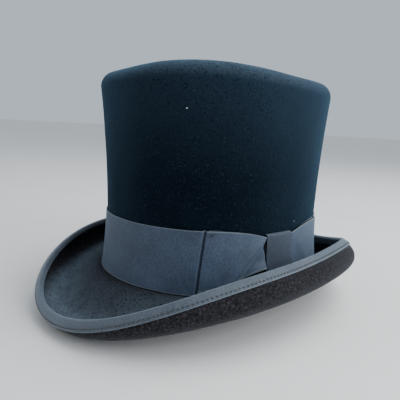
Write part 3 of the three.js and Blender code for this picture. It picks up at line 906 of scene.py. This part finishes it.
def hatband():
    """A ribbon once around the crown, swelling a little beside the bow's front fold."""
    angles, along = even_angles(
        band_line, COLUMN_PITCH, BOW_CENTRE + END_GAP, BOW_CENTRE + TURN - END_GAP, ring=False)
    width = BAND_HEIGHT - BAND_FOOT
    across = ribbon_levels(width, 20)
    from_edge = np.minimum(across, width - across)
    levels = mix(BAND_FOOT, band_top(angles), across / width)
    to_front_fold = mix(FRONT_FOLD[1], FRONT_FOLD[0], across / width) + TURN - angles
    to_rear_fold = angles - mix(REAR_FOLD[1], REAR_FOLD[0], across / width)
    from_fold = np.minimum(np.abs(to_front_fold), np.abs(to_rear_fold)) * WAIST_HALF_LENGTH
    outside = (to_front_fold > 0) & (to_rear_fold > 0)
    beside_front = outside & (np.abs(to_front_fold) < np.abs(to_rear_fold))
    swell = BAND_SWELL * smooth(from_fold, GROOVE_WIDTH - 0.5, GROOVE_WIDTH + 0.9)
    swell = np.where(beside_front, swell * (1 - smooth(from_fold, *SWELL_END)), 0)
    ease = wobble(angles, levels, 0.22) * smooth(width - across, 0, 6)
    middle = CLEARANCE + RIBBON / 2 + swell + np.maximum(ease, -0.2)
    half = RIBBON / 2 - edge_rounding(from_edge, RIBBON)
    outer = wall_point(angles, levels, middle + half + ribs(along, from_edge))
    inner = wall_point(angles, levels, middle - half)
    # Painted shade on the groove faces next to the bow's front fold.
    looks = edge_looks(across + 0 * angles, width, from_fold < 0.45 * GROOVE_WIDTH)
    return sweep_piece(
        "hatband_ribbon", closed(outer, inner), BAND_MATERIAL, ring=False,
        along=along, looks=looks, other_materials=RIBBON_EXTRAS)


def bow_loop(name, fold, side):
    """A folded loop of ribbon, open at its top and foot, that dives under the knot.

    side is -1 for the loop in front of the knot and 1 for the loop behind it.
    """
    in_front = side < 0
    knot_edge = BOW_CENTRE + side * KNOT_HALF_ANGLE
    tucked = BOW_CENTRE + side * END_GAP
    length = abs(fold[0] - knot_edge) * WAIST_HALF_LENGTH
    inside = abs(tucked - knot_edge) * WAIST_HALF_LENGTH
    reach = np.arange(0, length + inside, COLUMN_PITCH)
    fold_turns = np.linspace(0, math.pi, 9)[1:-1]
    # Distances from the fold along the outer layer back to the fold, round it and in again.
    distance = np.concatenate([reach[::-1], np.zeros(len(fold_turns)), reach])
    turn = np.concatenate([np.zeros(len(reach)), fold_turns, np.full(len(reach), math.pi)])
    stride = np.maximum(np.abs(np.diff(distance)), np.abs(np.diff(turn)) * LOOP_THICKNESS / 2)
    along = np.concatenate([[0], np.cumsum(stride)])
    outer_layer = 0.5 + 0.5 * np.cos(turn)
    near_knot = np.clip(distance / length, 0, 1)

    width = LOOP_TOP - LOOP_FOOT
    across = ribbon_levels(width, 24)
    level = across / width
    from_edge = np.minimum(level, 1 - level) * width
    top = mix(LOOP_TOP, PINCHED_TOP, near_knot**PINCH_POWER)
    corner_lift = CORNER_LIFT * outer_layer * in_front
    foot = mix(LOOP_FOOT, PINCHED_FOOT + corner_lift, smooth(near_knot))
    height = mix(foot, top, level)
    past = np.maximum(distance - length, 0) / WAIST_HALF_LENGTH
    angle = mix(mix(fold[1], fold[0], level), knot_edge, near_knot) - side * past
    radius = (LOOP_THICKNESS - BOW_RIBBON) / 2
    beyond = radius * np.sin(turn) * (1 + 0.4 * np.sin(math.pi * level))
    angle = angle + side * beyond / WAIST_HALF_LENGTH

    # The outer layer billows, then turns down into the shadow beside the knot.
    brink = length - REAR_HOLLOW
    if in_front:
        brink = length - HOLLOW_LEAST - HOLLOW_SWELL * bell(level, HOLLOW_LEVEL, 0.2)
    billow = LOOP_BULGE * np.sin(math.pi * near_knot**1.3) * (
        0.55 + 0.45 * np.sin(math.pi * level))
    crease = CREASE_DEPTH * bell(near_knot, 0.42 + 0.55 * level, CREASE_WIDTH)
    lift = FOOT_LIFT * smooth(near_knot, 0.45, 0.9) * (1 - smooth(level, 0.0, 0.3))
    raised = KNOT_RISE * smooth(near_knot, 0.5, 0.95) + billow + crease * (1 - 0.6 * level) + lift
    raised = raised * (1 - smooth(distance, brink - 1.5, brink + 0.4))
    raised = raised * (1 if in_front else REAR_SHARE)
    settled = LOOP_BASE + BOW_RIBBON / 2
    proud = settled + outer_layer * (2 * radius + raised)
    tucked_down = smooth(distance, brink - 1.5, length + 0.5)
    proud = mix(proud, settled + outer_layer * 2 * radius * 0.9, tucked_down * outer_layer)

    # The ribbon's own faces lie either side of its middle, outward on the outer layer.
    half = BOW_RIBBON / 2 - edge_rounding(from_edge, BOW_RIBBON)
    facing = np.cos(turn) * half
    sideways = np.sin(turn) * half * side / WAIST_HALF_LENGTH
    rib = ribs(along, from_edge) * outer_layer
    outer = wall_point(angle + sideways, height, proud + facing + rib)
    inner = wall_point(angle - sideways, height, proud - facing)
    # Painted shade on the loop's inner layer and, in the front loop, on the outer layer past the
    # brink by the knot.
    shadowed = ((distance > brink) & (outer_layer > 0.5) & in_front) | (outer_layer < 0.5)
    looks = edge_looks(across + 0 * distance, width, shadowed, 1.3 * SELVAGE)
    return sweep_piece(
        name, closed(outer, inner), BOW_MATERIAL, ring=False, along=along,
        looks=looks, other_materials=RIBBON_EXTRAS)


def bow_knot():
    """A short ribbon wrapped over the middle of the bow, its ribs lying level."""
    face = LOOP_BASE + LOOP_THICKNESS + CLEARANCE + BOW_RIBBON / 2
    depth = face - LOOP_BASE - KNOT_BEND
    straight = KNOT_TOP - KNOT_FOOT - 2 * KNOT_BEND
    # Each place's height and proudness, and how far its face looks up and outward.
    start = [(KNOT_TOP, LOOP_BASE + depth * share, 1.0, 0.0) for share in np.linspace(0, 1, 5)[:-1]]
    for turn in np.linspace(0, math.pi / 2, 7):
        up, out = math.cos(turn), math.sin(turn)
        start.append((KNOT_TOP - KNOT_BEND * (1 - up), face - KNOT_BEND * (1 - out), up, out))
    front = [(KNOT_TOP - KNOT_BEND - straight * share, face, 0.0, 1.0)
             for share in np.linspace(0, 1, 130)[1:-1]]
    end = [(KNOT_TOP + KNOT_FOOT - height, proud, -up, out)
           for height, proud, up, out in reversed(start)]
    height, proud, up, out = np.array(start + front + end).T
    along = np.concatenate([[0], np.cumsum(np.hypot(np.diff(height), np.diff(proud)))])
    width = 2 * KNOT_HALF_ANGLE * WAIST_HALF_LENGTH
    across = ribbon_levels(width, 22)
    from_edge = np.minimum(across, width - across)
    angle = BOW_CENTRE + (across - width / 2) / WAIST_HALF_LENGTH
    half = BOW_RIBBON / 2 - edge_rounding(from_edge, BOW_RIBBON)
    thick = half + ribs(along, from_edge)
    proud = proud + 0.5 * np.sin(math.pi * across / width) * out
    outer = wall_point(angle, height + up * thick, proud + out * thick)
    inner = wall_point(angle, height - up * half, proud - out * half)
    return sweep_piece(
        "bow_knot_ribbon", closed(outer, inner), KNOT_MATERIAL, ring=False,
        along=along)


def brim_binding():
    """Ribbon folded over the brim's edge, pulled in a little at each stitch."""
    angles, along = even_angles(brim_edge, COLUMN_PITCH)
    # Each place's distance from the edge, its side of the felt, and how far it faces the edge.
    path = [(distance, -1.0, 0.0) for distance in np.linspace(HEM, BINDING_BEND, 18)]
    for turn in np.linspace(0, math.pi, 17)[1:-1]:
        path.append((BINDING_BEND * (1 - math.sin(turn)), -math.cos(turn), math.sin(turn)))
    path += [(distance, 1.0, 0.0) for distance in np.linspace(BINDING_BEND, HEM, 18)]
    distance, side, cap = np.array(path).T[..., None]
    from_border = HEM - distance
    stitched = np.cos(TURN * along / STITCH_SPACING)
    pucker = PUCKER * bell(from_border, STITCH_LINE, 0.9) * (0.5 - 0.5 * stitched)
    border_lift = 0.12 * np.exp(-from_border / 0.5)
    reach = FELT / 2 + CLEARANCE + RIBBON / 2 - pucker + border_lift
    half = RIBBON / 2 - edge_rounding(from_border, RIBBON)

    def face(thick):
        """The binding's middle moved by thick away from the felt."""
        return near_edge_point(angles, distance - cap * thick, FELT / 2 + side * (reach + thick))

    outer = face(half + ribs(along, from_border, EDGE_ROUNDING))
    looks = edge_looks(from_border + 0 * angles, 2 * HEM, False, 0.3 * SELVAGE)
    return sweep_piece(
        "binding_ribbon", closed(outer, face(-half)), BINDING_MATERIAL,
        along=along, looks=looks, other_materials=RIBBON_EXTRAS)


def binding_stitches():
    """Threads through binding and felt, on both faces, just in from the binding's borders."""
    angles, _ = even_angles(brim_edge, STITCH_SPACING)
    distance = HEM - STITCH_LINE
    turn = 0.3 / WAIST_HALF_LENGTH
    centres, directions, normals = [], [], []
    for face, inward in ((0, 1), (FELT, -1)):
        depth = face - inward * (CLEARANCE + RIBBON)
        centre = near_edge_point(angles, distance, depth + inward * 0.5 * PUCKER)
        ahead = near_edge_point(angles + turn, distance, depth)
        behind = near_edge_point(angles - turn, distance, depth)
        centres.append(centre)
        directions.append(ahead - behind)
        normals.append(centre - near_edge_point(angles, distance, depth + inward))
    return stitch_row(
        "binding_stitches", np.concatenate(centres), np.concatenate(directions),
        np.concatenate(normals))


def bow_tacks():
    """Small tack stitches that hold the bow's front fold to the hatband."""
    # Each one's distance in from the fold, height and lean in degrees.
    spots = (
        (FRONT_FOLD[0], 3.0, LOOP_TOP - 3.4, 60),
        (FRONT_FOLD[0], 5.0, LOOP_TOP - 2.6, 10),
        (FRONT_FOLD[1], 4.4, LOOP_FOOT + 3.2, 20),
    )
    proud = LOOP_BASE + LOOP_THICKNESS + 0.35
    centres, directions, normals = [], [], []
    for fold, inward, height, lean in spots:
        angle = fold + inward / WAIST_HALF_LENGTH
        centre = wall_point(angle, height, proud)
        level = wall_point(angle + 0.01, height, proud) - centre
        upright = wall_point(angle, height + 1, proud) - centre
        lean = math.radians(lean)
        centres.append(centre)
        directions.append(
            level / np.linalg.norm(level) * math.cos(lean) + upright * math.sin(lean))
        normals.append(wall_point(angle, height, proud + 1) - centre)
    return stitch_row("bow_tack_stitches", centres, directions, normals, 2.2)


# --- Inside the crown -----------------------------------------------------------------------

def sweatband():
    """A leather strip around the head opening, its ends meeting at the back."""
    angles = np.linspace(math.pi + END_GAP, math.pi + TURN - END_GAP, 361)
    close = np.array([0, 0.1, 0.35])
    levels = np.concatenate([
        close, np.linspace(0.8, SWEATBAND_TOP - 0.8, 26), SWEATBAND_TOP - close[::-1]])[:, None]
    half = LEATHER / 2 - edge_rounding(np.minimum(levels, SWEATBAND_TOP - levels), LEATHER)
    ease = (wobble(angles, levels, 0.35) - 0.35) * smooth(levels, 4, 26)
    stitch_sink = 0.15 * bell(levels, SWEATBAND_STITCH_HEIGHT, 0.8)
    middle = SWEATBAND_PROUD - LEATHER / 2 + ease
    outer = wall_point(angles, levels, middle + half)
    inner = wall_point(angles, levels, middle - half + stitch_sink)
    return sweep_piece(
        "sweatband_leather_strip", closed(outer, inner), LEATHER_MATERIAL,
        ring=False)


def sweatband_stitches():
    """A row of threads along the sweatband's foot."""

    def line(angle, lift):
        return wall_point(angle, SWEATBAND_STITCH_HEIGHT, SWEATBAND_PROUD - LEATHER + lift)

    angles, _ = even_angles(lambda angle: line(angle, 0), 3.6)
    centres = line(angles, 0.1)
    directions = line(angles + 0.003, 0.1) - line(angles - 0.003, 0.1)
    return stitch_row(
        "sweatband_stitches", centres, directions, centres - line(angles, 1.1),
        2.4)


def sweatband_reed():
    """A thin ridged rod under the sweatband's foot."""
    angles = np.linspace(0, TURN, 481)[:-1]
    outward = BASE_FLARE + SWEATBAND_PROUD - LEATHER / 2
    height = -(REED_RADIUS + CLEARANCE)
    side = np.linspace(0, TURN, 13)[:-1, None]
    radius = REED_RADIUS * (1 - 0.06 * np.cos(120 * angles))
    grid = crown_point(angles, outward + radius * np.cos(side), height + radius * np.sin(side))
    return sweep_piece("reed_cord", grid, REED_MATERIAL)


def sweatband_bow():
    """A small flat bow of narrow ribbon over the sweatband's back seam."""
    half_width, end_height, waist_height, thickness, height = 8.0, 7.0, 3.0, 1.0, 8.0
    proud = SWEATBAND_PROUD - LEATHER - CLEARANCE - 0.35
    across = np.linspace(-1, 1, 121)
    spread = np.abs(across)
    angles = math.pi + across * half_width / WAIST_HALF_WIDTH
    level = np.linspace(-1, 1, 15)[:, None]
    pleat = 0.18 * np.cos(level * 9) * (1 - smooth(spread, 0.1, 0.7))
    puff = 0.5 * np.sin(math.pi * spread) * (1 - level**2)
    knot = 0.5 * (1 - smooth(spread, 0.12, 0.2))
    half_height = mix(waist_height, end_height, smooth(spread, 0.05, 0.9)) / 2 + 0.5 * knot
    notch = 1 - 0.018 * smooth(spread, 0.9, 1.0)
    edge = 0.3 * (1 - np.sqrt(np.clip(1 - level**8, 0, 1)))
    heights = height + level * half_height * notch
    outer = wall_point(angles, heights, proud + 0.1 - edge)
    inner = wall_point(angles, heights, proud - 0.6 * (thickness + puff) - knot - pleat + edge)
    return sweep_piece(
        "sweatband_bow_ribbon", closed(outer, inner), BAND_MATERIAL, ring=False)


def lining_side():
    """Satin around the inside of the crown, gathered into the seam with the tip."""
    angles = np.linspace(0, TURN, GATHERS * 10 + 1)[:-1]
    gather = 0.5 + 0.5 * np.cos(GATHERS * angles + 2.0 * np.sin(5 * angles))

    def face(extra):
        proud = LINING_PROUD - 0.05 - extra
        rows = []
        for height in np.linspace(LINING_FOOT, WALL_TOP, 60):
            climb = smooth(height, 60, WALL_TOP)
            gathered = (0.35 + 1.3 * climb) * mix(0.15, 1.0, climb) * gather
            ease = gathered + 0.35 + wobble(angles, height, 0.35)
            rows.append(wall_point(angles, height, proud - ease))
        for turn in np.linspace(0, SEAM_TURN, 14)[1:]:
            ease = 1.65 * gather * (1 - 0.5 * turn / SEAM_TURN) + 0.35
            rows.append(edge_point(angles, turn, proud - ease))
        return np.stack(rows)

    return sweep_piece(
        "lining_side_satin", closed(face(0.0), face(0.4)), SATIN_MATERIAL)


def tip_sheet(name, shares, top, thickness, inset, material):
    """A flat sheet under the crown's tip."""
    angles = np.linspace(0, TURN, 241)[:-1]

    def face(proud):
        return np.stack([
            tip_point(angles, share, proud + wobble(angles, 50 * share, 0.1 * share), inset)
            for share in shares])

    return sweep_piece(
        name, closed(face(top), face(top - thickness)), material, poles=True)


def lining_tip():
    """The lining's oval end, up to the gathered seam."""
    inset = (EDGE_RADIUS + LINING_PROUD) * math.cos(SEAM_TURN) - 2 * CLEARANCE
    return tip_sheet(
        "lining_tip_satin", np.linspace(0, 1, 40), LINING_PROUD - 0.1, 0.4, inset,
        SATIN_MATERIAL)


def tip_patch():
    """The clear film over the middle of the lining's end."""
    return tip_sheet(
        "tip_patch_film", np.linspace(0, PATCH_SHARE, 24), LINING_PROUD - SATIN - CLEARANCE,
        PATCH_THICKNESS, 0.0, FILM_MATERIAL)


# --- Building the hat -----------------------------------------------------------------------

CROWN_GIRTH = girth(band_line, 2000)
INSIDE_GIRTH = girth(
    lambda angle: wall_point(angle, SWEATBAND_TOP / 2, SWEATBAND_PROUD), 2000)

shell = felt_body()
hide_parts("felt_body")

binding = brim_binding()
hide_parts("brim_binding")
stitches = binding_stitches()

band = hatband()
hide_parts("hatband")

front_loop = bow_loop("bow_front_loop_ribbon", FRONT_FOLD, -1)
rear_loop = bow_loop("bow_rear_loop_ribbon", REAR_FOLD, 1)
knot = bow_knot()
tacks = bow_tacks()
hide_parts("bow_front_loop")
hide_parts("bow_rear_loop")
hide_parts("bow_knot")

leather = sweatband()
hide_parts("sweatband")
leather_stitches = sweatband_stitches()
reed = sweatband_reed()
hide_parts("sweatband_reed")
small_bow = sweatband_bow()
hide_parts("sweatband_bow")

side = lining_side()
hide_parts("lining_side")
tip = lining_tip()
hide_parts("lining_tip")
patch = tip_patch()
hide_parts("tip_patch")


# --- Floor, light and camera ----------------------------------------------------------------

def placed(name, data):
    """An object of the data, added to the scene."""
    made = bpy.data.objects.new(name, data)
    bpy.context.scene.collection.objects.link(made)
    return made


def floor():
    """A wide pale floor with a faint mottle."""
    mesh = bpy.data.meshes.new("studio_floor")
    corners = [(-1, -1, 0), (1, -1, 0), (1, 1, 0), (-1, 1, 0)]
    mesh.from_pydata((np.array(corners) * FLOOR_REACH).tolist(), [], [(0, 1, 2, 3)])
    nodes = Nodes("studio_floor")
    mottle = nodes.noise(nodes.object_coords(), 9, 4, 0.6)
    base = nodes.mixed(nodes.steps(mottle, 0.3, 0.7), FLOOR_PALE, FLOOR_PALER)
    mesh.materials.append(nodes.finish(base, 0.5, Specular_IOR_Level=0.5))
    placed("studio_floor", mesh)


def soft_light(name, position, size, power, colour):
    """A soft rectangular light aimed at the hat."""
    light = bpy.data.lights.new(name, "AREA")
    light.shape = "RECTANGLE"
    light.size, light.size_y = size
    light.energy = power
    light.color = colour
    lamp = placed(name, light)
    lamp.location = position
    aim = Vector(LIGHT_TARGET) - Vector(position)
    lamp.rotation_euler = aim.to_track_quat("-Z", "Y").to_euler()


def world_light():
    """Even light from all around."""
    world = bpy.data.worlds.new("studio")
    world.use_nodes = True
    background = world.node_tree.nodes["Background"]
    background.inputs["Color"].default_value = (*SKY_COLOUR, 1.0)
    background.inputs["Strength"].default_value = SKY_STRENGTH
    bpy.context.scene.world = world


def turned(first, second, degrees):
    """Two vectors at right angles, turned in their plane from the first towards the second."""
    cosine, sine = math.cos(math.radians(degrees)), math.sin(math.radians(degrees))
    return first * cosine + second * sine, second * cosine - first * sine


def photo_camera():
    """Looks slightly down at the hat's front left, turned a little about all three axes."""
    azimuth, elevation = math.radians(CAMERA_AZIMUTH), math.radians(CAMERA_ELEVATION)
    back = Vector((
        math.sin(azimuth) * math.cos(elevation),
        -math.cos(azimuth) * math.cos(elevation),
        math.sin(elevation),
    ))
    place = Vector(in_frame(CAMERA_TARGET)) + back * CAMERA_DISTANCE * METRES
    right = Vector((0, 0, 1)).cross(back).normalized()
    up = back.cross(right)
    right, back = turned(right, back, -CAMERA_PAN)
    up, back = turned(up, back, CAMERA_TILT)
    right, up = turned(right, up, CAMERA_ROLL)
    lens = bpy.data.cameras.new("photo_camera")
    lens.sensor_width = SENSOR_WIDTH
    lens.lens = CAMERA_LENS
    lens.clip_start = 0.01
    camera = placed("photo_camera", lens)
    axes = Matrix((right, up, back)).transposed().to_4x4()
    camera.matrix_world = Matrix.Translation(place) @ axes
    bpy.context.scene.camera = camera


floor()
world_light()
for soft in SOFT_LIGHTS:
    soft_light(*soft)
photo_camera()
